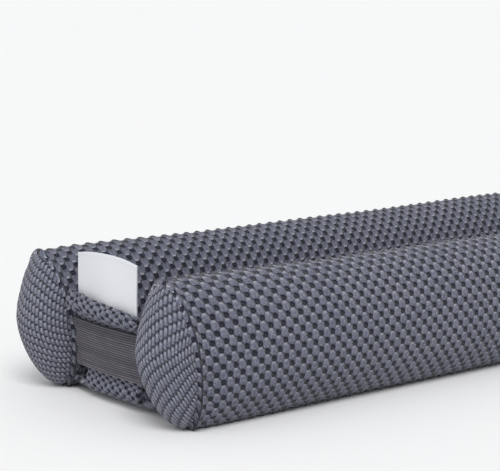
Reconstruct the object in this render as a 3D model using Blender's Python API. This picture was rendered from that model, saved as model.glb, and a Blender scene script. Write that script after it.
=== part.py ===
"""Draught excluder for the foot of a door.

Two long stuffed tubes lie side by side, one on each face of the door, and a
strip of the same mesh cloth joins them under it. Each tube is closed at both
ends by a domed cloth cap. At each end of the door the strip turns up as a flap,
held by an elastic strap whose ends are caught in the cap seams. A blank tag is
sewn to the flap at the near end.

+X runs along the door, +Y across it and +Z up. The floor is at z = 0.
"""

import math

import bpy
from mathutils import Vector

# Driving dimensions, in metres
LENGTH = 0.914          # over the crowns of the caps
TUBE_HEIGHT = 0.054
OUTER_HALF = 0.0152     # from a tube's axis to its room side
INNER_HALF = 0.0162     # and to its door side
OUTER_ROUND = 1.95      # 2 is an ellipse, more is squarer
INNER_ROUND = 1.85
DOOR_GAP = 0.047        # between the tubes, for a door up to 45 mm thick
BELLY = 0.0012          # how far the foot of a tube is pressed flat by its weight

CAP_CROWN = 0.0140      # how far a cap stands out past its seam
CAP_ROUND = 1.65
TOP_SOFT = 0.42          # a cap's top rises from its seam more softly than its sides
CROWN_DROP = 0.0012     # the crown of a cap lies this far below mid height
CAP_CLOTH = 0.0020
SEAM_DRAW = 0.0009      # how far a cap seam pulls the cloth in
SEAM_REACH = 0.007      # and how far in from the seam that shows
END_LEAN = 0.145        # the top of each end stands out further than its foot
LEAN_REACH = 0.060      # how far in from the seam the lean fades out
TOP_LEAN = 0.0006       # and more so above this height
TOP_FROM = 0.0300
TOP_OVER = 0.0180
SWELL_REACH = 0.050     # and over what length the swells below set in
GAP = 0.0003            # between pieces that are sewn to each other
BUTT_GAP = 0.0005       # where a sheet's edge meets a tube's facets

STRIP_CLOTH = 0.0020
STRIP_JOIN_TURN = 232   # where the strip meets a tube, in degrees round its section
STRIP_FLAT_HALF = 0.012 # half the width that lies flat on the floor
STRIP_KNEE = 0.007      # from there out to where its curve up begins to tell
STRIP_JOIN_RUN = 0.0035 # how far it runs straight out of the join
FLAP_START = 0.014      # from the cap seam back to where the flap leaves the floor
WING_STOP = 0.004       # from the cap seam back to the end of the strip's edges
FLAP_SLOPE = 0.0020     # the flap's top edge is this much lower at one side

STRAP_FOOT = 0.0115
STRAP_TOP = 0.0304
STRAP_THICK = 0.0012
END_BOW = 0.0015        # how far strap, flap and tag bow out at mid width

TAG_HALF_WIDTH = 0.0185
TAG_FOOT = 0.0365
TAG_TOP = 0.0578
TAG_THICK = 0.0010
TAG_ARCH = 0.0020       # the tag's corners are this much lower than its middle

SIDES = 28              # facets round a tube
STATIONS = 24           # sections along a tube, between the seam zones
SEAM_ZONE = (0.0, 0.0035, 0.008, 0.016)     # sections near a seam, measured in from it
DOME_DEGREES = (0, 26, 47, 64, 78)          # rings of a dome, from base to crown
STRIP_ROWS = 26
WING_COLUMNS = 2        # columns at each edge of the strip that don't turn up
FOLD_ROWS = 3           # rows of the flap that lie below the notches beside it

AXIS_Z = TUBE_HEIGHT / 2
AXIS_Y = DOOR_GAP / 2 + INNER_HALF
SEAM_X = LENGTH / 2 - CAP_CROWN

# Swell of a tube along its length: share of its size, waves per metre, phase
SWELLS = (
    {"share": 0.010, "per_metre": 4.3, "phase": 0.6},
    {"share": 0.006, "per_metre": 9.7, "phase": 2.1},
)

# The flap from the floor to its top edge. out is measured from the leaning plane
# of the cap seams; the halves are the flap's reach towards each tube.
FLAP_ROWS = (
    {"out": -0.0040, "height": 0.0017, "front_half": 0.0170, "back_half": 0.0195},
    {"out": -0.0008, "height": 0.0034, "front_half": 0.0155, "back_half": 0.0192},
    {"out": 0.0005, "height": 0.0062, "front_half": 0.0150, "back_half": 0.0190},
    {"out": -0.0018, "height": 0.0098, "front_half": 0.0155, "back_half": 0.0190},
    {"out": -0.0022, "height": 0.0130, "front_half": 0.0175, "back_half": 0.0195},
    {"out": -0.0021, "height": 0.0190, "front_half": 0.0200, "back_half": 0.0206},
    {"out": -0.0021, "height": 0.0250, "front_half": 0.0212, "back_half": 0.0212},
    {"out": -0.0022, "height": 0.0295, "front_half": 0.0214, "back_half": 0.0214},
    {"out": -0.0019, "height": 0.0321, "front_half": 0.0215, "back_half": 0.0215},
    {"out": 0.0002, "height": 0.0333, "front_half": 0.0215, "back_half": 0.0215},
    {"out": 0.0025, "height": 0.0347, "front_half": 0.0213, "back_half": 0.0213},
    {"out": 0.0027, "height": 0.0364, "front_half": 0.0210, "back_half": 0.0210},
    {"out": 0.0010, "height": 0.0380, "front_half": 0.0207, "back_half": 0.0207},
    {"out": 0.0002, "height": 0.0394, "front_half": 0.0205, "back_half": 0.0205},
)


def clear_scene():
    for thing in list(bpy.data.objects):
        bpy.data.objects.remove(thing, do_unlink=True)


def material(name, colour, roughness):
    mat = bpy.data.materials.new(name)
    mat.use_nodes = True
    shader = mat.node_tree.nodes["Principled BSDF"]
    shader.inputs["Base Color"].default_value = (*colour, 1.0)
    shader.inputs["Roughness"].default_value = roughness
    shader.inputs["Metallic"].default_value = 0.0
    return mat


def piece(name, verts, faces, mat, thickness=0.0):
    """A node of the object; a surface without thickness is given one here."""
    mesh = bpy.data.meshes.new(name)
    mesh.from_pydata(verts, [], faces)
    mesh.materials.append(mat)
    mesh.shade_smooth()
    mesh.set_sharp_from_angle(angle=math.radians(40))
    thing = bpy.data.objects.new(name, mesh)
    bpy.context.scene.collection.objects.link(thing)
    if thickness:
        solid = thing.modifiers.new("cloth thickness", "SOLIDIFY")
        solid.thickness = thickness
        solid.offset = 0.0
        solid.use_even_offset = True
    return thing


def signed_power(value, power):
    return math.copysign(abs(value) ** power, value)


def ease(share):
    share = min(max(share, 0.0), 1.0)
    return share * share * (3 - 2 * share)


def swell(x):
    """How full a tube is at x; its ends keep the plain size."""
    wave = sum(
        s["share"] * math.sin(math.tau * s["per_metre"] * x + s["phase"]) for s in SWELLS
    )
    return 1.0 + wave * ease((SEAM_X - abs(x)) / SWELL_REACH)


def seam_inset(x):
    return SEAM_DRAW * math.exp(-((SEAM_X - abs(x)) / SEAM_REACH) ** 2)


def section(turn, inset=0.0, size=1.0):
    """A point of the tube's section, as distance out from its axis and height.

    turn runs from the room side over the top to the door side and the foot.
    """
    c = math.cos(turn)
    s = math.sin(turn)
    half, power = (OUTER_HALF, 2 / OUTER_ROUND) if c > 0 else (INNER_HALF, 2 / INNER_ROUND)
    rise = TUBE_HEIGHT / 2 + (BELLY if s < 0 else 0.0)
    out = (half * size - inset) * signed_power(c, power)
    height = AXIS_Z + (rise * size - inset) * signed_power(s, power)
    return out, max(height, 0.0)


def lean(x, height):
    """How far the end's lean moves a point outwards along the tube."""
    leaning = END_LEAN * (height - AXIS_Z) + TOP_LEAN * ease((height - TOP_FROM) / TOP_OVER)
    return leaning * ease(1 - (SEAM_X - abs(x)) / LEAN_REACH)


def place(x, side, out, height):
    outwards = math.copysign(1.0, x)
    return Vector((x + outwards * lean(x, height), side * (AXIS_Y + out), height))


def dome_rise(turn, shrink):
    """How far out a dome stands, as a share of its depth, where it has shrunk by this."""
    power = CAP_ROUND - TOP_SOFT * ease(math.sin(turn))
    return (1 - shrink ** power) ** (1 / power)


def ring(x, side, inset=0.0, size=1.0, shrink=1.0, depth=0.0):
    """A ring round a tube; on a dome it is shrunk towards the crown and stands out."""
    points = []
    for k in range(SIDES):
        turn = math.tau * k / SIDES
        out, height = section(turn, inset, size)
        height = height * shrink + (AXIS_Z - CROWN_DROP) * (1 - shrink)
        along = x + math.copysign(depth * dome_rise(turn, shrink), x)
        points.append(place(along, side, out * shrink, height))
    return points


def dome_rings(end, side, base, depth, inset):
    """Rings of a dome from its base out to its pole, where the last is a point."""
    rings = []
    for degrees in DOME_DEGREES:
        a = math.radians(degrees)
        shrink = math.cos(a) ** (2 / CAP_ROUND)
        rings.append(ring(end * base, side, inset, 1.0, shrink, depth))
    rings.append([place(end * (base + depth), side, 0.0, AXIS_Z - CROWN_DROP)])
    return rings


def skin(rings):
    """Faces over successive rings, the first and last of which may be points."""
    verts = [v for r in rings for v in r]
    faces = []
    start = 0
    for here, there in zip(rings, rings[1:]):
        after = start + len(here)
        for k in range(SIDES):
            n = (k + 1) % SIDES
            if len(here) == 1:
                faces.append((start, after + n, after + k))
            elif len(there) == 1:
                faces.append((start + k, start + n, after))
            else:
                faces.append((start + k, start + n, after + n, after + k))
        start = after
    return verts, faces


def tube(name, side, mat):
    """One filled tube, its ends stepped in and domed to take the caps."""
    step = SEAM_DRAW + CAP_CLOTH + GAP
    depth = CAP_CROWN - CAP_CLOTH - GAP
    near = dome_rings(-1, side, SEAM_X, depth, step)
    far = dome_rings(1, side, SEAM_X, depth, step)
    inside = SEAM_X - SEAM_ZONE[-1]
    xs = [-SEAM_X + d for d in SEAM_ZONE]
    xs += [-inside + 2 * inside * k / STATIONS for k in range(1, STATIONS)]
    xs += [SEAM_X - d for d in reversed(SEAM_ZONE)]
    body = [ring(x, side, seam_inset(x), swell(x)) for x in xs]
    verts, faces = skin(near[::-1] + body + far)
    if side < 0:
        faces = [f[::-1] for f in faces]
    return piece(name, verts, faces, mat)


def cap(name, end, side, mat):
    """A domed cap of cloth, its rim facing the step in the tube's end."""
    base = SEAM_X + GAP
    outer = dome_rings(end, side, base, CAP_CROWN - GAP, SEAM_DRAW)
    inner = dome_rings(end, side, base, CAP_CROWN - CAP_CLOTH - GAP, SEAM_DRAW + CAP_CLOTH)
    verts, faces = skin(outer[::-1] + inner)
    if side * end > 0:
        faces = [f[::-1] for f in faces]
    return piece(name, verts, faces, mat)


def strip_half_section(x):
    """The strip from mid gap to a tube, as (across, height): flat, then up to the join."""
    turn = math.radians(STRIP_JOIN_TURN)
    step = math.radians(0.5)
    inset, size = seam_inset(x), swell(x)
    out, height = section(turn, inset, size)
    ahead, behind = section(turn + step, inset, size), section(turn - step, inset, size)
    along = Vector((ahead[0] - behind[0], ahead[1] - behind[1])).normalized()
    away = Vector((-along[1], along[0]))
    if away[0] > 0:
        away = -away
    edge = Vector((AXIS_Y + out, height)) + away * BUTT_GAP
    floor = STRIP_CLOTH / 2
    knee = Vector((STRIP_FLAT_HALF + STRIP_KNEE, floor))
    flat = Vector((STRIP_FLAT_HALF, floor))
    near_edge = edge + away * STRIP_JOIN_RUN
    rows = []
    for t in (0.0, 0.2, 0.45, 0.7, 1.0):
        s = 1 - t
        rows.append(
            edge * s ** 3 + near_edge * (3 * s * s * t) + knee * (3 * s * t * t) + flat * t ** 3
        )
    return rows[::-1]


def bow(across):
    return END_BOW * (1 - (across / (DOOR_GAP / 2)) ** 2)


def strip(name, mat):
    """The strip under the door and its two flaps, as one surface given thickness.

    Columns run across from one tube to the other. The outer two on each side
    stop at the end of the strip, and the corner between them and the fold of the
    flap is filled in, so that the notch beside the flap starts above the fold.
    """
    wing = WING_COLUMNS
    flap_from = SEAM_X - FLAP_START
    xs = [-flap_from + 2 * flap_from * k / STRIP_ROWS for k in range(STRIP_ROWS + 1)]
    verts = []
    grid = []

    def add(point):
        verts.append(point)
        return len(verts) - 1

    for x in xs:
        half = strip_half_section(x)
        across = [(-p[0], p[1]) for p in half[::-1]] + [(0.0, half[0][1])]
        across += [(p[0], p[1]) for p in half]
        grid.append([add(Vector((x, y, z))) for y, z in across])
    columns = len(grid[0])
    faces = []

    def band(here, there, flip):
        for k in range(len(here) - 1):
            quad = (here[k], there[k], there[k + 1], here[k + 1])
            faces.append(quad[::-1] if flip else quad)

    for here, there in zip(grid, grid[1:]):
        band(here, there, False)
    for end, root in ((-1, grid[0]), (1, grid[-1])):
        stop = SEAM_X - WING_STOP
        half = strip_half_section(stop)[-wing:]
        wing_edges = {}
        for side in (-1, 1):
            edge = [add(Vector((end * stop, side * p[0], p[1]))) for p in half]
            base = root[columns - wing:] if side > 0 else root[:wing][::-1]
            band(base, edge, (end < 0) != (side < 0))
            wing_edges[side] = (base[0], edge[0])
        here = root[wing:columns - wing]
        middle = (len(here) - 1) / 2
        fold_edges = {-1: [here[0]], 1: [here[-1]]}
        for row in FLAP_ROWS:
            top_share = (row["height"] - STRAP_TOP) / (TAG_TOP - STRAP_TOP)
            slope = FLAP_SLOPE * min(max(top_share * 3, 0.0), 1.0)
            bow_share = ease(row["height"] / STRAP_FOOT)
            there = []
            for k in range(len(here)):
                across = (k - middle) / middle
                y = across * (row["back_half"] if across > 0 else row["front_half"])
                z = row["height"] + slope * across
                out = row["out"] + lean(SEAM_X, z) + bow(y) * bow_share
                there.append(add(Vector((end * (SEAM_X + out), y, z))))
            band(here, there, end < 0)
            here = there
            if row in FLAP_ROWS[:FOLD_ROWS]:
                fold_edges[-1].append(there[0])
                fold_edges[1].append(there[-1])
        for side in (-1, 1):
            base, stop = wing_edges[side]
            fan = fold_edges[side]
            corner = [(fan[0], base, stop, fan[1])]
            corner += [(fan[k], stop, fan[k + 1]) for k in range(1, len(fan) - 1)]
            flip = (end < 0) == (side < 0)
            faces += [f[::-1] if flip else f for f in corner]
    return piece(name, verts, faces, mat, STRIP_CLOTH)


def tube_reach(height):
    """From a tube's axis to its door side, at a height on the cap seam."""
    rise = TUBE_HEIGHT / 2 + (BELLY if height < AXIS_Z else 0.0) - SEAM_DRAW
    share = abs(height - AXIS_Z) / rise
    return (INNER_HALF - SEAM_DRAW) * (1 - share ** INNER_ROUND) ** (1 / INNER_ROUND)


def sheet_grid(columns, rows, point):
    verts = [point(c / columns, r / rows) for r in range(rows + 1) for c in range(columns + 1)]
    wide = columns + 1
    faces = [
        (r * wide + c, r * wide + c + 1, (r + 1) * wide + c + 1, (r + 1) * wide + c)
        for r in range(rows)
        for c in range(columns)
    ]
    return verts, faces


def strap(name, end, mat):
    """The elastic between the two cap seams at one end."""

    def point(u, v):
        z = STRAP_FOOT + (STRAP_TOP - STRAP_FOOT) * v
        half = AXIS_Y - tube_reach(z) - BUTT_GAP
        y = half * (2 * u - 1) * -end
        return Vector((end * (SEAM_X + lean(SEAM_X, z) + bow(y)), y, z))

    verts, faces = sheet_grid(10, 4, point)
    return piece(name, verts, faces, mat, STRAP_THICK)


def tag(name, mat):
    """The blank woven tag that stands up from behind the near flap's top edge."""
    behind = STRIP_CLOTH / 2 + BUTT_GAP + TAG_THICK / 2

    def point(u, v):
        y = TAG_HALF_WIDTH * (2 * u - 1)
        top = TAG_TOP - TAG_ARCH * (2 * u - 1) ** 2
        z = TAG_FOOT + (top - TAG_FOOT) * v
        out = FLAP_ROWS[-1]["out"] - behind + lean(SEAM_X, FLAP_ROWS[-1]["height"])
        return Vector((-(SEAM_X + out + bow(y)), y, z))

    verts, faces = sheet_grid(10, 4, point)
    return piece(name, verts, faces, mat, TAG_THICK)


def build():
    clear_scene()
    mesh_cloth = material("mesh cloth", (0.115, 0.125, 0.160), 0.88)
    elastic = material("elastic webbing", (0.075, 0.068, 0.075), 0.80)
    tag_tape = material("tag tape", (0.80, 0.81, 0.86), 0.55)
    sides = (("front", -1), ("back", 1))
    ends = (("near", -1), ("far", 1))
    for side_name, side in sides:
        tube("tube_" + side_name, side, mesh_cloth)
        for end_name, end in ends:
            cap("cap_" + side_name + "_" + end_name, end, side, mesh_cloth)
    strip("strip", mesh_cloth)
    for end_name, end in ends:
        strap("strap_" + end_name, end, elastic)
    tag("tag", tag_tape)


build()
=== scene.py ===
import math

import bpy
import numpy as np
from mathutils import Matrix, Vector


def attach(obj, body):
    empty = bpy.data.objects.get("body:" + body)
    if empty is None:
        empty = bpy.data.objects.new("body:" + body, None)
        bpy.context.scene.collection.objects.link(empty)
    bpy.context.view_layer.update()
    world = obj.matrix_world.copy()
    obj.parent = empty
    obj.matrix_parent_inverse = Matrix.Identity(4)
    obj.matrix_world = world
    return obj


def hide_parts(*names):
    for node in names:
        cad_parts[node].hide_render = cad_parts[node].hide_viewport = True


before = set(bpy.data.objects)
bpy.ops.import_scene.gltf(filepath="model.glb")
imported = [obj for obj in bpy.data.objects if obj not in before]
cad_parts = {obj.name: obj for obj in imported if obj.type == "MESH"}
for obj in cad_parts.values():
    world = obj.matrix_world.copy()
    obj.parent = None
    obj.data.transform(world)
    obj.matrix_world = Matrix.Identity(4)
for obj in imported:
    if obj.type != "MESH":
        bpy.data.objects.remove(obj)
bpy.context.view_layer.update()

bpy.ops.object.select_all(action="DESELECT")

# The draught excluder's own sizes, in metres, as its solids have them.
LENGTH = 0.914
TUBE_HEIGHT = 0.054
OUTER_HALF = 0.0152
INNER_HALF = 0.0162
OUTER_ROUND = 1.95
INNER_ROUND = 1.85
DOOR_GAP = 0.047
BELLY = 0.0012
CAP_CROWN = 0.0140
CAP_ROUND = 1.65
TOP_SOFT = 0.42
CROWN_DROP = 0.0012
CAP_CLOTH = 0.0020
SEAM_DRAW = 0.0009
SEAM_REACH = 0.007
END_LEAN = 0.145
LEAN_REACH = 0.060
TOP_LEAN = 0.0006
TOP_FROM = 0.0300
TOP_OVER = 0.0180
SWELL_REACH = 0.050
GAP = 0.0003
STRIP_CLOTH = 0.0018
STRIP_JOIN_TURN = 232
STRIP_FLAT_HALF = 0.012
STRIP_KNEE = 0.007
STRIP_JOIN_RUN = 0.0035
BUTT_GAP = 0.0005
FLAP_START = 0.014
WING_STOP = 0.004
FLAP_SLOPE = 0.0020
STRAP_FOOT = 0.0115
STRAP_TOP = 0.0304
STRAP_THICK = 0.0012
END_BOW = 0.0015
TAG_HALF_WIDTH = 0.0185
TAG_FOOT = 0.0365
TAG_TOP = 0.0578
TAG_THICK = 0.0009
TAG_ARCH = 0.0020
AXIS_Z = TUBE_HEIGHT / 2
CROWN_Z = AXIS_Z - CROWN_DROP
AXIS_Y = DOOR_GAP / 2 + INNER_HALF
SEAM_X = LENGTH / 2 - CAP_CROWN
SWELLS = ((0.010, 4.3, 0.6), (0.006, 9.7, 2.1))     # share, waves a metre, phase

# The flap's rows from the floor up: out from the seam plane, height, reach to each tube.
FLAP_ROWS = (
    (-0.0040, 0.0017, 0.0170, 0.0195),
    (-0.0008, 0.0034, 0.0155, 0.0192),
    (0.0005, 0.0062, 0.0150, 0.0190),
    (-0.0018, 0.0098, 0.0155, 0.0190),
    (-0.0022, 0.0130, 0.0175, 0.0195),
    (-0.0021, 0.0190, 0.0200, 0.0206),
    (-0.0021, 0.0250, 0.0212, 0.0212),
    (-0.0022, 0.0295, 0.0214, 0.0214),
    (-0.0019, 0.0321, 0.0215, 0.0215),
    (0.0002, 0.0333, 0.0215, 0.0215),
    (0.0025, 0.0347, 0.0213, 0.0213),
    (0.0027, 0.0364, 0.0210, 0.0210),
    (0.0010, 0.0380, 0.0207, 0.0207),
    (0.0002, 0.0394, 0.0205, 0.0205),
)

# The mesh cloth: loops of this length and rows of this height, in metres.
LOOPS_ALONG = 161
LOOP_LENGTH = 2 * SEAM_X / LOOPS_ALONG
ROWS_ROUND = 46
STRIP_LOOP = 0.0027     # the strip's knit is finer
STRIP_ROW = 0.0025
HOLE_WIDE = 0.25        # of a loop's length
HOLE_TALL = 0.44        # of a row
LOOP_WIDE = 0.33
LOOP_TALL = 0.78
LOOP_TAPER = 0.28       # loops narrow upwards
TUBE_ACROSS = 92        # points round a tube
LOOP_POINTS = 6         # and along each loop
CAP_SLANT = 0.25        # how far the ends of the caps' long loops slant
RELIEF = 0.00080        # from the bottom of a hole in the tubes' cloth to the top of a loop
CAP_RELIEF = 0.00042
STRIP_RELIEF = 0.00055
RELIEF_SINK = 0.60      # this share of it lies under the solid's surface
STRIP_SINK = 0.62


# ---------------------------------------------------------------- shapes


def ease(share):
    share = np.clip(share, 0.0, 1.0)
    return share * share * (3 - 2 * share)


def step(value, low, high):
    return ease((value - low) / (high - low))


def swell(x):
    wave = sum(s * np.sin(math.tau * n * x + phase) for s, n, phase in SWELLS)
    return 1.0 + wave * ease((SEAM_X - np.abs(x)) / SWELL_REACH)


def seam_inset(x):
    return SEAM_DRAW * np.exp(-(((SEAM_X - np.abs(x)) / SEAM_REACH) ** 2))


def section(turn, inset=0.0, size=1.0):
    """The tube's section: distance out from its axis, and height."""
    c = np.cos(turn)
    s = np.sin(turn)
    half = np.where(c > 0, OUTER_HALF, INNER_HALF)
    power = np.where(c > 0, 2 / OUTER_ROUND, 2 / INNER_ROUND)
    rise = TUBE_HEIGHT / 2 + np.where(s < 0, BELLY, 0.0)
    out = (half * size - inset) * np.sign(c) * np.abs(c) ** power
    height = AXIS_Z + (rise * size - inset) * np.sign(s) * np.abs(s) ** power
    return out, np.maximum(height, 0.0)


def even_turns(count):
    """Turns round the section that are the same length of cloth apart."""
    turn = np.linspace(0.0, math.tau, 4001)
    out, height = section(turn)
    run = np.concatenate(([0.0], np.cumsum(np.hypot(np.diff(out), np.diff(height)))))
    return np.interp(np.arange(count) / count * run[-1], run, turn)


def lean(x, height):
    leaning = END_LEAN * (height - AXIS_Z) + TOP_LEAN * ease((height - TOP_FROM) / TOP_OVER)
    return leaning * ease(1 - (SEAM_X - np.abs(x)) / LEAN_REACH)


def place(x, side, out, height):
    x, out, height = np.broadcast_arrays(x, out, height)
    along = x + np.sign(x) * lean(x, height)
    return np.stack((along, side * (AXIS_Y + out), height), axis=-1)


def chance(a, b):
    """An even share from 0 to 1 for each pair of whole numbers."""
    value = np.sin(a * 12.9898 + b * 78.233) * 43758.5453
    return value - np.floor(value)


def loops(u, v):
    """Where a point lies in the knit: reach from its hole and from its loop."""
    p = u + v / 2
    q = u - v / 2
    hole_p = p - np.round(p)
    hole_q = q - np.round(q)
    hole = np.hypot((hole_p + hole_q) / 2 / HOLE_WIDE, (hole_p - hole_q) / HOLE_TALL)
    cell_p = np.floor(p)
    cell_q = np.floor(q)
    loop_p = p - cell_p - 0.5
    loop_q = q - cell_q - 0.5
    upward = (loop_p - loop_q) / LOOP_TALL
    loop = np.hypot((loop_p + loop_q) / 2 / LOOP_WIDE * (1 + LOOP_TAPER * upward), upward)
    return hole, loop, chance(cell_p, cell_q)


def relief(u, v):
    """Height of the knit, from 0 in a hole to about 1 on top of a loop."""
    hole, loop, each = loops(u, v)
    crown = np.sqrt(np.clip(1 - (loop / 1.3) ** 2, 0.0, 1.0))
    return step(hole, 0.35, 1.45) * (0.55 + (0.35 + 0.20 * each) * crown)


def cap_relief(s, t):
    """Height of the cap's knit, whose long loops stand in rows; 0 between two rows."""
    aside = s - np.round(s)
    along = t - np.round(t) + CAP_SLANT * aside
    each = chance(np.round(s), np.round(t))
    crown = np.sqrt(np.clip(1 - (aside / 0.60) ** 2, 0.0, 1.0))
    row = 1 - step(np.abs(along), 0.32, 0.50)
    return row * (0.45 + (0.40 + 0.20 * each) * crown)


def normals(grid, closed):
    """Outward normals of a grid of points, along its first axis and round its second."""
    along = np.gradient(grid, axis=0)
    if closed:
        round_it = np.roll(grid, -1, axis=1) - np.roll(grid, 1, axis=1)
    else:
        round_it = np.gradient(grid, axis=1)
    normal = np.cross(along, round_it)
    return normal / np.maximum(np.linalg.norm(normal, axis=-1, keepdims=True), 1e-12)


def grid_faces(rows, columns, closed):
    """Quads between the rows of a grid, as vertex numbers."""
    wide = columns if closed else columns - 1
    r, c = np.meshgrid(np.arange(rows - 1), np.arange(wide), indexing="ij")
    after = (c + 1) % columns
    quads = np.stack(
        (r * columns + c, (r + 1) * columns + c, (r + 1) * columns + after, r * columns + after),
        axis=-1,
    )
    return quads.reshape(-1, 4)


def new_piece(name, points, faces, weave=None, wrap=None):
    """A mesh object; weave holds each point's place in the knit, for its UV map.

    wrap is how many rows there are round a closed piece.
    """
    mesh = bpy.data.meshes.new(name)
    mesh.from_pydata(np.asarray(points, float).reshape(-1, 3).tolist(), [], [list(f) for f in faces])
    mesh.update()
    if weave is not None:
        corner = np.zeros(len(mesh.loops), int)
        mesh.loops.foreach_get("vertex_index", corner)
        places = weave.reshape(-1, 2)[corner]
        if wrap:
            sizes = np.array([p.loop_total for p in mesh.polygons])
            face = np.repeat(np.arange(len(sizes)), sizes)
            highest = np.zeros(len(sizes))
            np.maximum.at(highest, face, places[:, 1])
            places[:, 1] += wrap * (highest[face] - places[:, 1] > wrap / 2)
        layer = mesh.uv_layers.new(name="weave")
        layer.data.foreach_set("uv", places.ravel())
    piece = bpy.data.objects.new(name, mesh)
    bpy.context.scene.collection.objects.link(piece)
    return piece


def smooth(piece):
    piece.data.shade_smooth()


def apply(piece, modifier):
    bpy.ops.object.select_all(action="DESELECT")
    bpy.context.view_layer.objects.active = piece
    piece.select_set(True)
    bpy.ops.object.modifier_apply(modifier=modifier.name)
    piece.select_set(False)


def points_of(piece):
    points = np.zeros(len(piece.data.vertices) * 3)
    piece.data.vertices.foreach_get("co", points)
    return points.reshape(-1, 3)


def set_points(piece, points):
    piece.data.vertices.foreach_set("co", points.ravel())
    piece.data.update()


def thicken(piece, thickness):
    """Gives a sheet its thickness, half on each side."""
    solid = piece.modifiers.new("cloth thickness", "SOLIDIFY")
    solid.thickness = thickness
    solid.offset = 0.0
    solid.use_even_offset = False
    apply(piece, solid)


def raise_by(piece, heights):
    """Moves each point out along its normal."""
    normal = np.zeros(len(piece.data.vertices) * 3)
    piece.data.vertices.foreach_get("normal", normal)
    set_points(piece, points_of(piece) + normal.reshape(-1, 3) * np.asarray(heights)[:, None])


# ---------------------------------------------------------------- filling


FILL_ALONG = LOOP_POINTS      # the simulated cloth has a point at each loop
FILL_ACROSS = 4
FILL_CAP = 0.0007             # the furthest that the filling may push the cloth
FILL_FRAMES = 20


def filled(grid, side):
    """Blows a coarse copy of the tube up as the filling does, and gives how far it moved."""
    coarse = grid[::FILL_ALONG, ::FILL_ACROSS]
    rows, columns = coarse.shape[:2]
    rest = coarse.reshape(-1, 3)
    faces = grid_faces(rows, columns, True)
    if side > 0:
        faces = faces[:, ::-1]
    bag = new_piece("filling_bag", rest, faces)
    held = bag.vertex_groups.new(name="held")
    ends = list(range(columns)) + list(range((rows - 1) * columns, rows * columns))
    held.add(ends, 1.0, "REPLACE")
    cloth = bag.modifiers.new("filling", "CLOTH")
    cloth.settings.quality = 5
    cloth.settings.mass = 0.15
    cloth.settings.use_pressure = True
    cloth.settings.uniform_pressure_force = 4.0
    cloth.settings.vertex_group_mass = "held"
    cloth.settings.effector_weights.gravity = 0.0
    cloth.collision_settings.use_collision = False
    scene = bpy.context.scene
    for number in range(1, FILL_FRAMES + 1):
        scene.frame_set(number)
    apply(bag, cloth)
    moved = points_of(bag) - rest
    reach = np.linalg.norm(moved, axis=1, keepdims=True)
    moved *= np.minimum(1.0, FILL_CAP / np.maximum(reach, 1e-9))
    bpy.data.objects.remove(bag, do_unlink=True)
    scene.frame_set(1)
    return moved.reshape(rows, columns, 3)


def spread_out(field, rows, columns):
    """A coarse field of moves, made smooth over the fine grid."""
    r = np.arange(rows) / FILL_ALONG
    low = np.minimum(r.astype(int), field.shape[0] - 2)
    share = (r - low)[:, None, None]
    field = field[low] * (1 - share) + field[low + 1] * share
    c = np.arange(columns) / FILL_ACROSS
    low = c.astype(int)
    share = (c - low)[None, :, None]
    field = field[:, low] * (1 - share) + field[:, (low + 1) % field.shape[1]] * share
    for _ in range(6):
        field = (np.roll(field, 1, 1) + 2 * field + np.roll(field, -1, 1)) / 4
        field[1:-1] = (field[:-2] + 2 * field[1:-1] + field[2:]) / 4
    return field


# ---------------------------------------------------------------- pieces


SEAM_ROUND = 0.0004       # how far each side of a cap seam rolls in
SEAM_ROLL = 0.003         # and over what length
SEAM_TUCK = 0.0009        # how far it dips in right at the seam
SEAM_CREASE = 0.0008      # and over what length
TUBE_GATHER = 0.00028     # height of the small folds that the seam draws up
CAP_GATHER = 0.00020


def seam_dip(inward):
    """How far the cloth sinks at this distance in from a cap seam."""
    tuck = SEAM_TUCK * np.exp(-((inward / SEAM_CREASE) ** 2))
    return tuck + SEAM_ROUND * np.exp(-inward / SEAM_ROLL)


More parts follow.
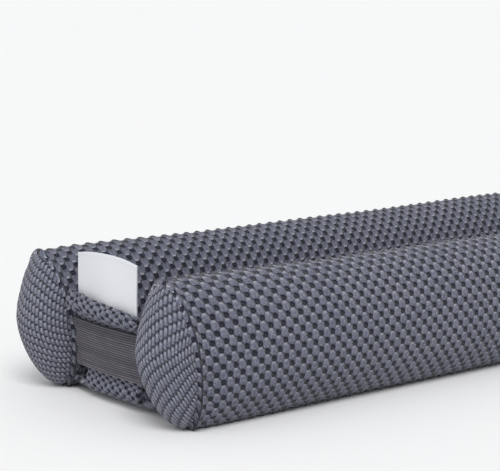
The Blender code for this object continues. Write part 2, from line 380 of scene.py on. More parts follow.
def tube(name, side):
    """One stuffed tube of mesh cloth, its ends turned in at the cap seams."""
    turns = even_turns(TUBE_ACROSS)
    xs = np.linspace(-SEAM_X, SEAM_X, LOOPS_ALONG * LOOP_POINTS + 1)
    out, height = section(turns[None, :], seam_inset(xs)[:, None], swell(xs)[:, None])
    body = place(xs[:, None], side, out, height)
    if side < 0:
        outward = -normals(body, True)
    else:
        outward = normals(body, True)
    body = body + spread_out(filled(body, side), len(xs), TUBE_ACROSS)
    u = (xs / LOOP_LENGTH + 0.25)[:, None] + np.zeros((1, TUBE_ACROSS))
    v = np.zeros((len(xs), 1)) + (np.arange(TUBE_ACROSS) * ROWS_ROUND / TUBE_ACROSS)[None, :]
    u = u + 0.045 * np.sin(xs * 71 + 1.0)[:, None] + 0.03 * np.sin(turns * 3 + 0.5)[None, :]
    inward = SEAM_X - np.abs(xs)[:, None]
    gathers = TUBE_GATHER * np.sin(turns * 17 + 0.8 * np.sin(turns * 3))[None, :]
    gathers = gathers * np.exp(-inward / 0.009) * step(inward, 0.0, 0.003)
    lift = RELIEF * (relief(u, v) - RELIEF_SINK) * step(inward, -0.0004, 0.002)
    body = body + outward * (lift + gathers - seam_dip(inward))[..., None]
    body[..., 2] = np.maximum(body[..., 2], 0.0)
    weave = np.stack((u, v), axis=-1)
    rings = [body]
    weaves = [weave]
    for end, at in ((-1, 0), (1, -1)):
        rim = body[at]
        centre = place(end * (SEAM_X + 0.004), side, 0.0, CROWN_Z)
        inner = []
        for share, reach in ((0.90, 0.0006), (0.75, 0.002), (0.5, 0.0045), (0.2, 0.006)):
            ring = centre + (rim - centre) * share
            ring[:, 0] = rim[:, 0] + end * reach
            inner.append(ring)
        inner = np.array(inner)
        further = np.array((end * 0.35, 0.0)) * np.arange(1, len(inner) + 1)[:, None, None]
        inner_weave = weave[at] + further
        if end < 0:
            rings.insert(0, inner[::-1])
            weaves.insert(0, inner_weave[::-1])
        else:
            rings.append(inner)
            weaves.append(inner_weave)
    grid = np.concatenate(rings)
    places = np.concatenate(weaves).reshape(-1, 2)
    faces = grid_faces(len(grid), TUBE_ACROSS, True).tolist()
    points = grid.reshape(-1, 3).tolist()
    last = (len(grid) - 1) * TUBE_ACROSS
    for at, first, turn_it in ((0, 0, False), (-1, last, True)):
        pole = len(points)
        points.append(grid[at].mean(axis=0).tolist())
        places = np.vstack((places, places[first]))
        for k in range(TUBE_ACROSS):
            here, there = first + k, first + (k + 1) % TUBE_ACROSS
            faces.append([pole, there, here] if turn_it else [pole, here, there])
    if side < 0:
        faces = [f[::-1] for f in faces]
    piece = new_piece(name, points, [f[::-1] for f in faces], places, ROWS_ROUND)
    smooth(piece)
    return piece


CAP_ACROSS = 276          # points round a cap
CAP_RINGS = 60
CAP_LINING = (0, 8, 18, 30, 42, 52)     # the rings that its lining follows
BARS_SLANT = 250          # loops in each metre that the front caps' cloth is pulled aslant


def cap_dome(end, side):
    """A cap's dome as rings from the seam in, its pole, and the turn of each point."""
    base = SEAM_X + GAP
    depth = CAP_CROWN - GAP
    angle = np.linspace(0.0, math.pi / 2, 2001)
    reach = depth * np.sin(angle) ** (2 / CAP_ROUND)
    rim_radius = 0.5 * (TUBE_HEIGHT / 2 + OUTER_HALF)
    radius = rim_radius * np.cos(angle) ** (2 / CAP_ROUND)
    run = np.concatenate(([0.0], np.cumsum(np.hypot(np.diff(reach), np.diff(radius)))))
    angles = np.interp(np.linspace(0.0, run[-1], CAP_RINGS + 1)[:-1], run, angle)
    turns = even_turns(CAP_ACROSS)
    shrink = np.cos(angles)[:, None] ** (2 / CAP_ROUND)
    power = CAP_ROUND - TOP_SOFT * ease(np.sin(turns))
    rise = (1 - shrink ** power) ** (1 / power)
    out, height = section(turns[None, :], SEAM_DRAW, 1.0)
    height = height * shrink + CROWN_Z * (1 - shrink)
    dome = place(end * (base + depth * rise), side, out * shrink, height)
    pole = place(np.array([end * (base + depth)]), side, 0.0, CROWN_Z)[0]
    return dome, pole, turns


def cap_knit(dome, pole, from_pole, side, along_row, to_next_row):
    """Where each point of a cap lies in its knit, in loops along a row and in rows."""
    facing = dome[..., 1:] - pole[1:]
    facing = facing / np.linalg.norm(facing, axis=-1, keepdims=True)
    flat_y = facing[..., 0] * from_pole * side
    flat_z = facing[..., 1] * from_pole
    steps_back = np.linalg.inv(np.array((along_row, to_next_row)).T)
    u = flat_y * steps_back[0, 0] + flat_z * steps_back[0, 1]
    v = flat_y * steps_back[1, 0] + flat_z * steps_back[1, 1]
    if side < 0:
        # low on the outside of the front tube, the cloth was pulled aslant over the filling
        deep = np.abs(dome[..., 0] - pole[0]) * step(flat_y - flat_z, -0.010, 0.015)
        u = u + BARS_SLANT * deep
    u = u + 0.10 * np.sin(flat_z * 300 + 0.4) + 0.08 * np.sin(flat_y * 410)
    v = v + 0.05 * np.sin(flat_y * 520 + 1.9) + 0.04 * np.sin(flat_z * 380)
    return u, v


def cap(name, end, side, along_row, to_next_row):
    """A domed cap, its rim turned in at the seam.

    along_row and to_next_row are the steps from loop to loop of its knit, outwards
    from the door and up, in metres.
    """
    dome, pole, turns = cap_dome(end, side)
    closed = np.concatenate((dome, np.broadcast_to(pole, (1,) + dome.shape[1:])))
    steps = np.linalg.norm(np.diff(closed, axis=0), axis=-1)
    from_pole = np.cumsum(steps[::-1], axis=0)[::-1]
    u, v = cap_knit(dome, pole, from_pole, side, along_row, to_next_row)
    outward = normals(dome, True)
    centre = pole - np.array([end * 0.02, 0, 0])
    outward = outward * np.sign((outward * (dome - centre)).sum(axis=-1).mean())
    inward = from_pole[:1] - from_pole
    gathers = CAP_GATHER * np.sin(turns * 15 + 1.1 * np.sin(turns * 2))[None, :]
    gathers = gathers * np.exp(-inward / 0.007) * step(inward, 0.0, 0.003)
    fade = step(inward, -0.0004, 0.0018) * step(from_pole, 0.0, 0.0006)
    lift = CAP_RELIEF * (cap_relief(u, v) - RELIEF_SINK) * fade
    skin = dome + outward * (lift + gathers - seam_dip(inward))[..., None]
    skin[..., 2] = np.maximum(skin[..., 2], 0.0)
    lining = [dome[row] - outward[row] * CAP_CLOTH for row in reversed(CAP_LINING)]
    for share in (0.94, 0.97):
        ring = skin[0] * share + pole * (1 - share)
        ring[:, 0] = skin[0][:, 0] + end * 0.0004
        lining.append(ring)
    grid = np.concatenate((np.array(lining), skin))
    weave = np.stack((u, v), axis=-1)
    lining_weave = [weave[row] for row in reversed(CAP_LINING)] + [weave[0], weave[0]]
    places = np.concatenate((np.array(lining_weave), weave)).reshape(-1, 2)
    faces = grid_faces(len(grid), CAP_ACROSS, True).tolist()
    points = grid.reshape(-1, 3).tolist()
    last = (len(grid) - 1) * CAP_ACROSS
    inside = pole - np.array([end * CAP_CLOTH, 0, 0])
    for first, tip, turn_it in ((0, inside, False), (last, pole, True)):
        number = len(points)
        points.append(tip.tolist())
        places = np.vstack((places, [0.0, 0.0]))
        for k in range(CAP_ACROSS):
            here, there = first + k, first + (k + 1) % CAP_ACROSS
            faces.append([number, there, here] if turn_it else [number, here, there])
    if side * end > 0:
        faces = [f[::-1] for f in faces]
    piece = new_piece(name, points, faces, places)
    smooth(piece)
    return piece


def half_section(x, count_wing, count_notch, count_middle):
    """Half of the strip's section from the join to mid gap, as across and height."""
    turn = math.radians(STRIP_JOIN_TURN)
    nudge = math.radians(0.5)
    inset, size = seam_inset(x), swell(x)
    out, height = section(turn, inset, size)
    ahead = np.array(section(turn + nudge, inset, size))
    behind = np.array(section(turn - nudge, inset, size))
    along = (ahead - behind) / np.linalg.norm(ahead - behind)
    away = np.array((-along[1], along[0]))
    if away[0] > 0:
        away = -away
    edge = np.array((AXIS_Y + out, height)) + away * BUTT_GAP
    knee = np.array((STRIP_FLAT_HALF + STRIP_KNEE, STRIP_CLOTH / 2))
    flat = np.array((STRIP_FLAT_HALF, STRIP_CLOTH / 2))
    near_edge = edge + away * STRIP_JOIN_RUN
    curved = count_middle * 2 // 3
    t = np.concatenate((
        np.linspace(0.0, 0.2, count_wing + 1)[:-1],
        np.linspace(0.2, 0.45, count_notch + 1)[:-1],
        np.linspace(0.45, 1.0, curved + 1)[:-1],
    ))[:, None]
    s = 1 - t
    bent = edge * s ** 3 + near_edge * (3 * s * s * t) + knee * (3 * s * t * t) + flat * t ** 3
    level = flat * np.linspace(1.0, 0.0, count_middle - curved + 1)[:, None]
    level[:, 1] = STRIP_CLOTH / 2
    return np.concatenate((bent, level))


def bow(across):
    return END_BOW * (1 - (across / (DOOR_GAP / 2)) ** 2)


WING = 3
NOTCH = 4
MIDDLE = 20               # columns from the notch to mid gap
CHANNEL_ROWS = 390
FLAP_FINE = 104
FOLD_FINE = 26            # this many of them lie below the notches beside the flap


def whole_section(x):
    half = half_section(x, WING, NOTCH, MIDDLE)
    other = half[-2::-1] * np.array((-1.0, 1.0))
    return np.concatenate((half, other))[::-1]


def flap_grid(end, root, columns):
    """The flap from its root up, as a grid of points that follows its folds."""
    across = np.linspace(-1.0, 1.0, columns)
    lines = [root - np.array((end * 0.0014, 0, 0)), root]
    for out, height, front_half, back_half in FLAP_ROWS:
        top_share = (height - STRAP_TOP) / (TAG_TOP - STRAP_TOP)
        slope = FLAP_SLOPE * min(max(top_share * 3, 0.0), 1.0)
        y = across * np.where(across > 0, back_half, front_half)
        z = height + slope * across
        reach = out + lean(SEAM_X, z) + bow(y) * ease(height / STRAP_FOOT)
        lines.append(np.stack((end * (SEAM_X + reach), y, z), axis=-1))
    lines = np.array(lines)
    steps = np.linalg.norm(np.diff(lines, axis=0), axis=-1).mean(axis=1)
    run = np.concatenate(([0.0], np.cumsum(steps)))
    at = np.linspace(run[1], run[-1], FLAP_FINE + 1)
    fine = np.empty((len(at), columns, 3))
    for c in range(columns):
        for axis in range(3):
            fine[:, c, axis] = np.interp(at, run, lines[:, c, axis])
    for _ in range(9):
        fine[1:-1] = (fine[:-2] + 2 * fine[1:-1] + fine[2:]) / 4
    return fine, at - run[1]


FLAP_CREASES = (
    # across, height, half length, half width, turned by, how proud
    (-0.62, 0.0385, 0.0055, 0.0011, 0.9, 0.00075),
    (-0.30, 0.0372, 0.0048, 0.0012, -0.5, 0.00060),
    (0.18, 0.0380, 0.0060, 0.0013, 0.35, 0.00065),
    (0.66, 0.0376, 0.0048, 0.0011, -0.8, 0.00070),
    (-0.85, 0.0365, 0.0035, 0.0010, 1.3, 0.00080),
    (-0.78, 0.0055, 0.0040, 0.0010, 0.8, 0.00090),
    (-0.45, 0.0060, 0.0060, 0.0012, 0.25, 0.00060),
    (0.20, 0.0058, 0.0070, 0.0012, -0.15, 0.00055),
    (0.72, 0.0052, 0.0045, 0.0011, -0.5, 0.00060),
)


def creases(y, z, half_width):
    """Soft ridges of the flap where it bulges over the strap and folds under it."""
    raised = np.zeros_like(y)
    for across, height, half_long, half_wide, turned, proud in FLAP_CREASES:
        dy = y - across * half_width
        dz = z - height
        long_way = dy * math.cos(turned) + dz * math.sin(turned)
        cross_way = -dy * math.sin(turned) + dz * math.cos(turned)
        ridge = np.exp(-((long_way / half_long) ** 2) - (cross_way / half_wide) ** 2)
        beside = cross_way - 2.2 * half_wide
        trough = np.exp(-((long_way / half_long) ** 2) - (beside / half_wide) ** 2)
        raised += proud * (ridge - 0.7 * trough)
    return raised


class Patches:
    """Grids of points that share their edges, collected into one mesh."""

    def __init__(self):
        self.points = []
        self.weave = []
        self.relief = []
        self.folds = []
        self.faces = []

    def add(self, grid, weave, relief_share, folds):
        """Adds a grid's points, and gives their numbers."""
        first = len(self.points)
        flat = grid.reshape(-1, 3)
        self.points += flat.tolist()
        self.weave += weave.reshape(-1, 2).tolist()
        self.relief += np.broadcast_to(relief_share, grid.shape[:-1]).ravel().tolist()
        self.folds += np.broadcast_to(folds, grid.shape[:-1]).ravel().tolist()
        return np.arange(first, first + len(flat)).reshape(grid.shape[:-1])

    def sew(self, numbers, flip):
        """Faces over a grid of point numbers."""
        for here, there in zip(numbers[:-1], numbers[1:]):
            for k in range(len(here) - 1):
                quad = [int(here[k]), int(there[k]), int(there[k + 1]), int(here[k + 1])]
                self.faces.append(quad[::-1] if flip else quad)


def strip(name):
    """The strip under the door with a flap at each end, all in one cut."""
    flap_from = SEAM_X - FLAP_START
    xs = np.linspace(-flap_from, flap_from, CHANNEL_ROWS + 1)
    channel = np.array([np.insert(whole_section(x), 0, x, axis=1) for x in xs])
    columns = channel.shape[1]
    widths = np.linalg.norm(np.diff(channel[len(xs) // 2], axis=0), axis=-1)
    across_run = np.concatenate(([0.0], np.cumsum(widths)))
    across_run -= across_run[columns // 2]

    def in_weave(along, across):
        return np.stack(np.broadcast_arrays(along / STRIP_LOOP, across / STRIP_ROW), axis=-1)

    cut = Patches()
    ground = cut.add(channel, in_weave(xs[:, None], across_run[None, :]), 0.0, 0.0)
    edge = WING + NOTCH
    picked = np.arange(edge, columns - edge)
    joins = []
    for end, row in ((-1, 0), (1, len(xs) - 1)):
        # the flap has twice as many columns as the channel has there
        fine_columns = 2 * len(picked) - 1
        root = np.empty((fine_columns, 3))
        root[::2] = channel[row, picked]
        root[1::2] = (root[:-2:2] + root[2::2]) / 2
        grid, climb = flap_grid(end, root, fine_columns)
        root_run = np.interp(np.arange(fine_columns) / 2, np.arange(len(picked)), across_run[picked])
        climbed = np.linspace(0.0, 1.0, len(grid))[:, None]
        across = root_run[None, :] * (1 - ease(climbed * 4)) + grid[..., 1] * ease(climbed * 4)
        along = end * (flap_from + climb)[:, None]
        loose = step(grid[..., 2], 0.028, 0.034)
        along = along + loose * 0.0005 * np.sin(grid[..., 1] * 420 + 1.3)
        across = across + loose * 0.0004 * np.sin(grid[..., 2] * 900 + grid[..., 1] * 260)
        behind_strap = step(grid[..., 2], 0.0100, 0.0120) * (1 - step(grid[..., 2], 0.0310, 0.0330))
        started = step(climb[:, None], 0.0, 0.003)
        share = np.clip(1.0 - 0.8 * behind_strap, 0.2, 1.0) * started
        folds = creases(grid[..., 1], grid[..., 2], 0.0205) * (1 - behind_strap) * started
        places = in_weave(along, across)
        numbers = np.empty(grid.shape[:2], int)
        numbers[0, ::2] = ground[row, picked]
        numbers[0, 1::2] = cut.add(grid[0, 1::2], places[0, 1::2], 0.0, 0.0)
        numbers[1:] = cut.add(grid[1:], places[1:], share[1:], folds[1:])
        cut.sew(numbers, end < 0)
        joins.append((end, numbers[0, 1::2]))
        # the corners beside it, up to the tubes, close under the notches
        stop = np.linspace(flap_from, SEAM_X - WING_STOP, FOLD_FINE + 1)
        for side in (-1, 1):
            corner = np.arange(edge + 1) if side < 0 else np.arange(columns - 1 - edge, columns)
            lines = np.array([np.insert(whole_section(x), 0, end * x, axis=1)[corner] for x in stop])
            inner = -1 if side < 0 else 0
            fold_edge = 0 if side < 0 else -1
            pulled = grid[: FOLD_FINE + 1, fold_edge] - lines[:, inner]
            share_in = np.zeros(edge + 1)
            share_in[WING:] = np.linspace(0.0, 1.0, NOTCH + 1)
            if side > 0:
                share_in = share_in[::-1]
            lines = lines + pulled[:, None, :] * ease(share_in)[None, :, None]
            corner_places = in_weave((end * stop)[:, None], across_run[corner][None, :])
            corner_numbers = np.empty(lines.shape[:2], int)
            corner_numbers[0] = ground[row, corner]
            corner_numbers[:, inner] = numbers[: FOLD_FINE + 1, fold_edge]
            fresh = np.delete(np.arange(edge + 1), inner)
            corner_numbers[1:, fresh] = cut.add(lines[1:, fresh], corner_places[1:, fresh], 0.5, 0.0)
            cut.sew(corner_numbers, end < 0)
    first = len(cut.faces)
    cut.sew(ground, False)
    # the channel's last rows take in the midpoints of the flaps' finer columns
    for end, midpoints in joins:
        quad_row = 0 if end < 0 else len(xs) - 2
        for k, middle in enumerate(midpoints):
            number = first + quad_row * (columns - 1) + int(picked[k])
            a, b, c, d = cut.faces[number]
            cut.faces[number] = [a, b, c, d, int(middle)] if end < 0 else [a, b, int(middle), c, d]
    piece = new_piece(name, cut.points, [f[::-1] for f in cut.faces], np.array(cut.weave))
    thicken(piece, STRIP_CLOTH)
    weave = np.tile(np.array(cut.weave), (2, 1))
    share = np.tile(np.array(cut.relief), 2)
    folds = np.array(cut.folds)
    lift = STRIP_RELIEF * share * (relief(weave[:, 0], weave[:, 1]) - STRIP_SINK)
    raise_by(piece, lift + np.concatenate((folds, -folds)))
    settled = points_of(piece)
    settled[:, 2] = np.maximum(settled[:, 2], 0.0)
    set_points(piece, settled)
    smooth(piece)
    return piece


def tube_reach(height):
    """How far the tube's inner side stands from its axis, at each height."""
    rise = TUBE_HEIGHT / 2 + np.where(height < AXIS_Z, BELLY, 0.0) - SEAM_DRAW
    share = np.abs(height - AXIS_Z) / rise
    return (INNER_HALF - SEAM_DRAW) * (1 - share ** INNER_ROUND) ** (1 / INNER_ROUND)


RIBS = 20
RIB_HIGH = 0.00022
STRAP_ROWS = 6 * RIBS
STRAP_COLUMNS = 72


def strap(name, end):
    """Ribbed elastic from one cap seam to the other."""
    r = np.linspace(0.0, 1.0, STRAP_ROWS + 1)[:, None]
    c = np.linspace(0.0, 1.0, STRAP_COLUMNS + 1)[None, :]
    z = STRAP_FOOT + (STRAP_TOP - STRAP_FOOT) * r + 0 * c
    half = AXIS_Y - tube_reach(z) + 0.0016
    y = half * (2 * c - 1) * -end
    x = SEAM_X + lean(SEAM_X, z) + bow(y) - 0.0004
    x = x + 0.00022 * np.sin(z * 900 + y * 60) * step(np.abs(2 * c - 1), 0.5, 1.0)
    grid = np.stack((end * x, y, z), axis=-1)
    weave = np.stack((y / 0.001, RIBS * r + 0 * c), axis=-1)
    faces = grid_faces(STRAP_ROWS + 1, STRAP_COLUMNS + 1, False)
    piece = new_piece(name, grid, faces[:, ::-1], weave)
    thicken(piece, STRAP_THICK * 0.7)
    ribs = np.abs(np.sin(math.pi * RIBS * r)) ** 0.7 + 0 * c
    selvedge = 1 + 0.5 * np.exp(-((r * (1 - r)) / 0.02) ** 2)
    lift = RIB_HIGH * (ribs * selvedge - 0.2)
    raise_by(piece, np.tile(lift.ravel(), 2))
    smooth(piece)
    return piece


TAG_ROWS = 56
TAG_COLUMNS = 84


def tag(name):
    """A blank woven tag that stands up from behind the near flap's top edge."""
    r = np.linspace(0.0, 1.0, TAG_ROWS + 1)[:, None]
    c = np.linspace(0.0, 1.0, TAG_COLUMNS + 1)[None, :]
    y = TAG_HALF_WIDTH * (2 * c - 1)
    top = TAG_TOP - 0.0004 - TAG_ARCH * (2 * c - 1) ** 2
    z = TAG_FOOT + (top - TAG_FOOT) * r
    behind = STRIP_CLOTH / 2 + BUTT_GAP + TAG_THICK / 2
    out = FLAP_ROWS[-1][0] - behind + lean(SEAM_X, FLAP_ROWS[-1][1])
    ripple = 0.00035 * np.sin(y * 210 + 0.7) * step(r, 0.15, 1.0) + 0.0003 * ease(r) * np.sin(y * 95)
    x = -(SEAM_X + out + bow(y) + ripple)
    grid = np.stack(np.broadcast_arrays(x, y, z), axis=-1)
    weave = np.stack(np.broadcast_arrays(y / 0.00055, z / 0.00042), axis=-1)
    faces = grid_faces(TAG_ROWS + 1, TAG_COLUMNS + 1, False)
    piece = new_piece(name, grid, faces, weave)
    thicken(piece, TAG_THICK * 0.6)
    from_side = np.minimum(c, 1 - c) * 2 * TAG_HALF_WIDTH
    from_top = (1 - r) * (TAG_TOP - TAG_FOOT)
    hem = np.exp(-((from_side / 0.0009) ** 2)) + np.exp(-(((from_top - 0.0006) / 0.0007) ** 2))
    hem_line = np.exp(-(((from_top - 0.0024) / 0.00035) ** 2)) * 0.5
    lift = 0.00010 * np.clip(hem, 0, 1) - 0.00008 * hem_line
    raise_by(piece, np.tile((lift + 0 * r).ravel(), 2))
    smooth(piece)
    return piece


def bead(radius, half_long):
    """One stitch of thread: a short rounded bead along X, made once and copied."""
    bpy.ops.object.select_all(action="DESELECT")
    bpy.ops.mesh.primitive_uv_sphere_add(segments=8, ring_count=6, radius=radius)
    made = bpy.context.active_object
    shape = points_of(made)
    faces = [tuple(p.vertices) for p in made.data.polygons]
    bpy.data.objects.remove(made, do_unlink=True)
    shape = shape[:, [2, 0, 1]]
    shape[:, 0] *= half_long / radius
    return shape, faces


STITCHES_ROUND = 46
STITCH_RADIUS = 0.00027
STITCH_HALF = 0.00085     # half of a stitch's length


def stitches(name, end, side):
    """Thread over a cap seam, sunk in further down its sides."""
    shape, faces = bead(STITCH_RADIUS, STITCH_HALF)
    turns = even_turns(STITCHES_ROUND)
    out, height = section(turns, SEAM_DRAW, 1.0)
    points = []
    all_faces = []
    for k in range(STITCHES_ROUND):
        here = place(np.array([end * (SEAM_X + GAP / 2)]), side, out[k:k + 1], height[k:k + 1])[0]
        radial = np.array((0.0, side * out[k], height[k] - AXIS_Z))
        radial /= np.linalg.norm(radial)
        sideways = np.array((end, 0.0, END_LEAN * 0.5))
        round_it = np.cross(sideways, radial)
        round_it /= np.linalg.norm(round_it)
        along = sideways * 0.55 + round_it * 0.45 * (1 + 0.3 * math.sin(k * 2.3))
        along /= np.linalg.norm(along)
        up = radial - along * radial.dot(along)
        up /= np.linalg.norm(up)
        across = np.cross(up, along)
        turned = shape @ np.array((along, across, up))
        shown = step(height[k], 0.030, 0.038) * (1 - step(height[k], 0.0522, 0.0530))
        sunk = 0.0013 - 0.0012 * float(shown)
        centre = here - radial * sunk
        first = len(points) * len(shape)
        points.append(turned + centre)
        all_faces += [tuple(number + first for number in face) for face in faces]
    piece = new_piece(name, np.concatenate(points), all_faces)
    smooth(piece)
    return piece


# ---------------------------------------------------------------- finishes


class Wire:
    """A value on its way through a finish. Sums on it add Math nodes."""

    def __init__(self, finish, socket):
        self.finish = finish
        self.socket = socket

    def maths(self, operation, *values):
        inputs = dict(enumerate(values))
        return self.finish.node("ShaderNodeMath", {"operation": operation}, inputs)

    def __add__(self, other):
        return self.maths("ADD", self, other)

    __radd__ = __add__

    def __sub__(self, other):
        return self.maths("SUBTRACT", self, other)

    def __rsub__(self, other):
        return self.maths("SUBTRACT", other, self)

    def __mul__(self, other):
        return self.maths("MULTIPLY", self, other)

    __rmul__ = __mul__

    def __pow__(self, other):
        return self.maths("POWER", self, other)

    def floor(self):
        return self.maths("FLOOR", self)

    def size(self):
        return self.maths("ABSOLUTE", self)

    def sine(self):
        return self.maths("SINE", self)

    def step(self, low, high):
        """Rises smoothly from 0 to 1 between two values."""
        settings = {"interpolation_type": "SMOOTHSTEP"}
        inputs = {"Value": self, "From Min": low, "From Max": high}
        return self.finish.node("ShaderNodeMapRange", settings, inputs)


class Finish:
    """A material whose nodes are added by their type, settings and inputs."""

    def __init__(self, name, **constants):
        self.material = bpy.data.materials.new(name)
        self.material.use_nodes = True
        self.tree = self.material.node_tree
        self.shader = self.tree.nodes["Principled BSDF"]
        for socket, value in constants.items():
            self.shader.inputs[socket.replace("_", " ")].default_value = value

    def node(self, kind, settings=None, inputs=None, output=0):
        made = self.tree.nodes.new(kind)
        for name, value in (settings or {}).items():
            setattr(made, name, value)
        for name, value in (inputs or {}).items():
            self.join(value, made.inputs[name])
        if isinstance(output, tuple):
            return tuple(Wire(self, made.outputs[name]) for name in output)
        return Wire(self, made.outputs[output])

    def join(self, value, socket):
        if isinstance(value, Wire):
            self.tree.links.new(value.socket, socket)
        else:
            socket.default_value = value

    def mix(self, share, first, second):
        """Goes from the first colour to the second."""
        inputs = {0: share, 6: first, 7: second}
        return self.node("ShaderNodeMix", {"data_type": "RGBA"}, inputs, 2)

    def place(self):
        """Where a point lies in the piece's weave."""
        uv = self.node("ShaderNodeUVMap", {"uv_map": "weave"})
        return self.node("ShaderNodeSeparateXYZ", None, {0: uv}, ("X", "Y"))

    def noise(self, scale, detail=2.0):
        where = self.node("ShaderNodeTexCoord", None, None, "Object")
        inputs = {"Vector": where, "Scale": scale, "Detail": detail}
        return self.node("ShaderNodeTexNoise", None, inputs)

    def each(self, first, second):
        """A different value for each pair of whole numbers."""
        pair = self.node("ShaderNodeCombineXYZ", None, {0: first, 1: second})
        return self.node("ShaderNodeTexWhiteNoise", {"noise_dimensions": "2D"}, {"Vector": pair})

    def seam_shade(self):
        """1 in the crease of a cap seam, and 0 beside it."""
        where = self.node("ShaderNodeTexCoord", None, None, "Object")
        x, y, z = self.node("ShaderNodeSeparateXYZ", None, {0: where}, ("X", "Y", "Z"))
        leaning = (z - AXIS_Z) * END_LEAN + z.step(TOP_FROM, TOP_FROM + TOP_OVER) * TOP_LEAN
        beside = (x.size() - SEAM_X - leaning).size()
        low = 1 - z.step(0.040, 0.050)
        return (1 - beside.step(0.0001, 0.0005)) * y.size().step(0.0216, 0.0222) * low

    def surface(self, colour, roughness, height, distance):
        self.join(colour, self.shader.inputs["Base Color"])
        self.join(roughness, self.shader.inputs["Roughness"])
        bump = self.node("ShaderNodeBump", None, {"Height": height, "Distance": distance})
        self.join(bump, self.shader.inputs["Normal"])
        return self.material


def colour(red, green, blue):
    return (red, green, blue, 1.0)


THREAD_DARK = colour(0.127, 0.133, 0.177)
THREAD_PALE = colour(0.170, 0.176, 0.226)
THREAD_BLUE = colour(0.118, 0.129, 0.190)
THREAD_FLECK_AND_HIGHLIGHT = colour(0.385, 0.392, 0.450)
SHADE_BETWEEN_LOOPS = colour(0.060, 0.063, 0.094)
SHADE = colour(0.039, 0.041, 0.066)
DEEP_SHADE = colour(0.006, 0.007, 0.018)


def knit_colours(finish, each, strands, tip, fine):
    """The yarn's colour, which changes from loop to loop and along the piece, with pale and dark
    flecks, painted shade between its strands and a painted highlight at the loops' tips.
    """
    broad = finish.noise(22.0)
    yarn = finish.mix(each, THREAD_DARK, THREAD_PALE)
    yarn = finish.mix(broad.step(0.3, 0.7) * 0.4, yarn, THREAD_BLUE)
    # painted shade between the yarn's strands
    yarn = finish.mix((1 - strands) * 0.30, yarn, SHADE)
    yarn = finish.mix(fine.step(0.50, 0.72) * 0.45, yarn, THREAD_FLECK_AND_HIGHLIGHT)
    yarn = finish.mix((1 - fine.step(0.28, 0.50)) * 0.55, yarn, SHADE)
    # painted highlight at the loops' tips, in the pale fleck colour
    return finish.mix(tip, yarn, THREAD_FLECK_AND_HIGHLIGHT)


def mesh_cloth():
    finish = Finish("mesh cloth", Sheen_Weight=0.2, Sheen_Roughness=0.5, Specular_IOR_Level=0.3)
    u, v = finish.place()
    p = u + v * 0.5
    q = u - v * 0.5
    hole_p = p - (p + 0.5).floor()
    hole_q = q - (q + 0.5).floor()
    hole_aside = (hole_p + hole_q) * (0.5 / HOLE_WIDE)
    hole_upward = (hole_p - hole_q) * (1 / HOLE_TALL)
    hole = (hole_aside ** 2 + hole_upward ** 2) ** 0.5
    cell_p = p.floor()
    cell_q = q.floor()
    loop_p = p - cell_p - 0.5
    loop_q = q - cell_q - 0.5
    upward = (loop_p - loop_q) * (1 / LOOP_TALL)
    aside = (loop_p + loop_q) * (0.5 / LOOP_WIDE) * (1 + upward * LOOP_TAPER)
    loop = (aside ** 2 + upward ** 2) ** 0.5
    each = finish.each(cell_p, cell_q)
    fine = finish.noise(1900.0, 3.0)
    grain = finish.noise(950.0, 2.0)
    ragged = (grain - 0.5) * 0.7
    crown = 1 - (loop + ragged).step(0.66, 1.30)
    open_hole = 1 - (hole + ragged).step(0.70, 1.06)
    dot = (1 - hole.step(0.05, 0.36)) * 0.35
    groove = (1 - (hole_p.size() + ragged * 0.06).step(0.04, 0.15)) * loop.step(0.65, 1.0)
    strands = (aside * 7.0 + upward * upward * 1.8 + grain * 7.0).sine() * 0.5 + 0.5
    # painted highlight on the upper end of each loop, where light from above falls
    tip = upward.step(0.15, 0.85) * (1 - (aside + ragged).size().step(0.25, 0.75)) * 0.85
    yarn = knit_colours(finish, each, strands, tip, fine)
    # painted shade on the lower half of each loop
    yarn = finish.mix((0 - upward).step(0.0, 1.0) * 0.22, yarn, SHADE)
    # painted shade between the loops, outside their crowns
    shaded = finish.mix(crown, SHADE_BETWEEN_LOOPS, yarn)
    # painted shade in the grooves between loops
    shaded = finish.mix(groove * 0.75, shaded, SHADE)
    # painted shade in the holes, a little paler at each hole's centre
    dark = finish.mix(dot, DEEP_SHADE, colour(0.055, 0.057, 0.078))
    cloth = finish.mix(open_hole, shaded, dark)
    cloth = finish.mix(finish.seam_shade() * 0.85, cloth, DEEP_SHADE)
    height = crown * 0.6 + strands * crown * 0.2 + fine * 0.3 - open_hole * 0.6 - groove * 0.4
    return finish.surface(cloth, 0.84 + fine * 0.12, height, 0.0005)


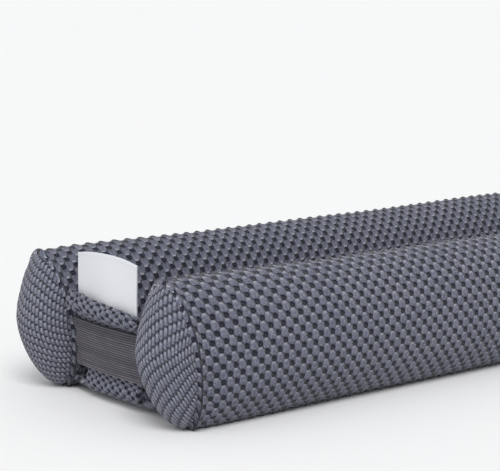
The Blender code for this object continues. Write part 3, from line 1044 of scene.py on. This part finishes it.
def cap_cloth():
    """The same knit on the caps, where it is drawn out into rows of long loops."""
    finish = Finish("cap cloth", Sheen_Weight=0.2, Sheen_Roughness=0.5, Specular_IOR_Level=0.3)
    s, t = finish.place()
    fine = finish.noise(1900.0, 3.0)
    grain = finish.noise(900.0, 2.0)
    cell_s = (s + 0.5).floor()
    cell_t = (t + 0.5).floor()
    aside = s - cell_s
    along = t - cell_t + aside * CAP_SLANT
    each = finish.each(cell_s, cell_t)
    ragged = (grain - 0.5) * 0.30
    between = (aside.size() + ragged).step(0.26, 0.48)
    row_gap = (along.size() + ragged * 0.8 + each * 0.06).step(0.35, 0.46)
    strands = (aside * 14.0 + grain * 6.0).sine() * 0.5 + 0.5
    # painted highlight on the upper end of each long loop; the added 0.07 makes all of the cap's
    # yarn a little paler
    tip = (along + ragged).step(-0.05, 0.26) * (1 - aside.size().step(0.08, 0.34)) * 0.4
    yarn = knit_colours(finish, each, strands, tip + 0.07, fine)
    # painted shade on the sides of each long loop, between the loops
    shaded = finish.mix(between * 0.86, yarn, SHADE)
    # painted shade in the gaps between rows, darker towards one side
    stroke = row_gap * (0.55 + 0.45 * (aside + ragged * 0.5).step(-0.2, 0.4))
    cloth = finish.mix(stroke, shaded, DEEP_SHADE)
    cloth = finish.mix(finish.seam_shade() * 0.85, cloth, DEEP_SHADE)
    height = (1 - between) * 0.5 + strands * 0.12 + fine * 0.25 - row_gap * 0.7
    return finish.surface(cloth, 0.84 + fine * 0.12, height, 0.0005)


def elastic():
    finish = Finish("elastic", Sheen_Weight=0.2, Sheen_Roughness=0.5, Specular_IOR_Level=0.35)
    u, v = finish.place()
    rib = (v * math.pi).sine().size()
    each = finish.each(v.floor(), 0.0)
    pick = (u * math.tau * 1.15 + v.floor() * math.pi).sine() * 0.5 + 0.5
    fine = finish.noise(2400.0, 3.0)
    drawn = finish.noise(160.0, 3.0)
    yarn = finish.mix(each, colour(0.070, 0.064, 0.084), colour(0.150, 0.140, 0.168))
    yarn = finish.mix(drawn.step(0.35, 0.7) * 0.6, yarn, colour(0.070, 0.065, 0.084))
    yarn = finish.mix(pick * (fine * 0.8), yarn, colour(0.036, 0.032, 0.043))
    # painted shade in the grooves between the ribs
    webbing = finish.mix(rib.step(0.2, 0.85), colour(0.011, 0.010, 0.016), yarn)
    height = rib * 0.5 + pick * 0.25 + fine * 0.35
    return finish.surface(webbing, 0.74 + fine * 0.12, height, 0.0003)


def tag_tape():
    finish = Finish("tag tape", Sheen_Weight=0.3, Sheen_Roughness=0.4, Specular_IOR_Level=0.4)
    u, v = finish.place()
    warp = (u * math.pi).sine().size()
    weft = (v * math.pi + u.floor() * math.pi * 0.5).sine().size()
    broad = finish.noise(70.0)
    satin = finish.mix(broad, colour(0.69, 0.705, 0.745), colour(0.75, 0.76, 0.79))
    tape = finish.mix((1 - weft * warp) * 0.22, satin, colour(0.54, 0.56, 0.62))
    return finish.surface(tape, 0.5 + weft * 0.15, warp * 0.5 + weft * 0.5, 0.00007)


def thread():
    finish = Finish("sewing thread", Sheen_Weight=0.3, Specular_IOR_Level=0.5)
    fine = finish.noise(3200.0, 2.0)
    strand = finish.mix(fine, colour(0.36, 0.37, 0.41), colour(0.56, 0.57, 0.61))
    return finish.surface(strand, 0.45 + fine * 0.2, fine, 0.0001)


def floor_finish():
    finish = Finish("pale floor", Specular_IOR_Level=0.1)
    fine = finish.noise(3.0, 2.0)
    pale = finish.mix(fine, colour(0.872, 0.872, 0.868), colour(0.884, 0.884, 0.880))
    return finish.surface(pale, 0.9 + fine * 0.05, fine, 0.0005)


# ---------------------------------------------------------------- assembly


def dress(piece, material, slot, *nodes):
    piece.data.materials.clear()
    piece.data.materials.append(material)
    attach(piece, "root")
    if nodes:
        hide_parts(*nodes)
    return piece


cloth_finish = mesh_cloth()
cap_finish = cap_cloth()
elastic_finish = elastic()
tape_finish = tag_tape()
thread_finish = thread()

TUBES = {"front": -1, "back": 1}
ENDS = {"near": -1, "far": 1}
CAP_CUTS = {
    # the steps from loop to loop: along a row, and up to the next row
    "front_near": ((0.00130, 0.00124), (-0.00105, 0.00365)),
    "back_near": ((0.00165, 0.00078), (0.00024, 0.00340)),
    "front_far": ((0.00155, 0.00085), (-0.00030, 0.00360)),
    "back_far": ((0.00140, 0.00115), (-0.00100, 0.00365)),
}

for tube_name, side in TUBES.items():
    node = "tube_" + tube_name
    made = dress(tube("cloth_" + node, side), cloth_finish, "mesh_cloth", node)

for place_name, (along_row, to_next_row) in CAP_CUTS.items():
    tube_name, end_name = place_name.split("_")
    end = ENDS[end_name]
    side = TUBES[tube_name]
    node = "cap_" + place_name
    domed = cap("cloth_" + node, end, side, along_row, to_next_row)
    made = dress(domed, cap_finish, "mesh_cloth", node)
    sewn = dress(stitches("stitches_" + place_name, end, side), thread_finish, "mesh_cloth")

made = dress(strip("cloth_strip"), cloth_finish, "mesh_cloth", "strip")

for end_name, end in ENDS.items():
    node = "strap_" + end_name
    made = dress(strap("webbing_" + node, end), elastic_finish, "elastic", node)

made = dress(tag("tape_tag"), tape_finish, "tag_tape", "tag")


# ---------------------------------------------------------------- studio


bpy.ops.object.select_all(action="DESELECT")
bpy.ops.mesh.primitive_plane_add(size=60.0)
studio_floor = bpy.context.active_object
studio_floor.name = "studio_floor"
studio_floor.data.materials.append(floor_finish())

world = bpy.data.worlds.new("studio")
world.use_nodes = True
world.node_tree.nodes["Background"].inputs["Color"].default_value = (0.97, 0.98, 1.0, 1.0)
world.node_tree.nodes["Background"].inputs["Strength"].default_value = 0.60
bpy.context.scene.world = world
bpy.context.scene.view_settings.view_transform = "Standard"


def soft_sun(name, from_where, spread, strength):
    """A broad, even studio light from a direction."""
    bpy.ops.object.light_add(type="SUN", location=from_where)
    lamp = bpy.context.active_object
    lamp.name = name
    lamp.data.angle = math.radians(spread)
    lamp.data.energy = strength
    lamp.rotation_euler = (-Vector(from_where)).to_track_quat("-Z", "Y").to_euler()


soft_sun("key", (-0.55, -0.85, 1.25), 30.0, 1.75)
soft_sun("fill", (-1.2, 0.1, 0.6), 50.0, 0.45)

CAMERA_AT = (-0.7838, -0.5047, 0.1630)
CAMERA_TURN = -38.84      # degrees to the right of straight back
CAMERA_DIP = 9.27         # degrees down from level
azimuth = math.radians(CAMERA_TURN)
pitch = math.radians(CAMERA_DIP)
level = math.cos(pitch)
ahead = Vector((-math.sin(azimuth) * level, math.cos(azimuth) * level, -math.sin(pitch)))
right = Vector((math.cos(azimuth), math.sin(azimuth), 0.0))
upward = right.cross(ahead)
camera_data = bpy.data.cameras.new("camera")
camera_data.sensor_width = 36.0
camera_data.lens = 122.4
camera_data.clip_start = 0.01
camera_data.clip_end = 200.0
camera = bpy.data.objects.new("camera", camera_data)
turned = Matrix((right, upward, -ahead)).transposed().to_4x4()
camera.matrix_world = Matrix.Translation(CAMERA_AT) @ turned
bpy.context.scene.collection.objects.link(camera)
bpy.context.scene.camera = camera
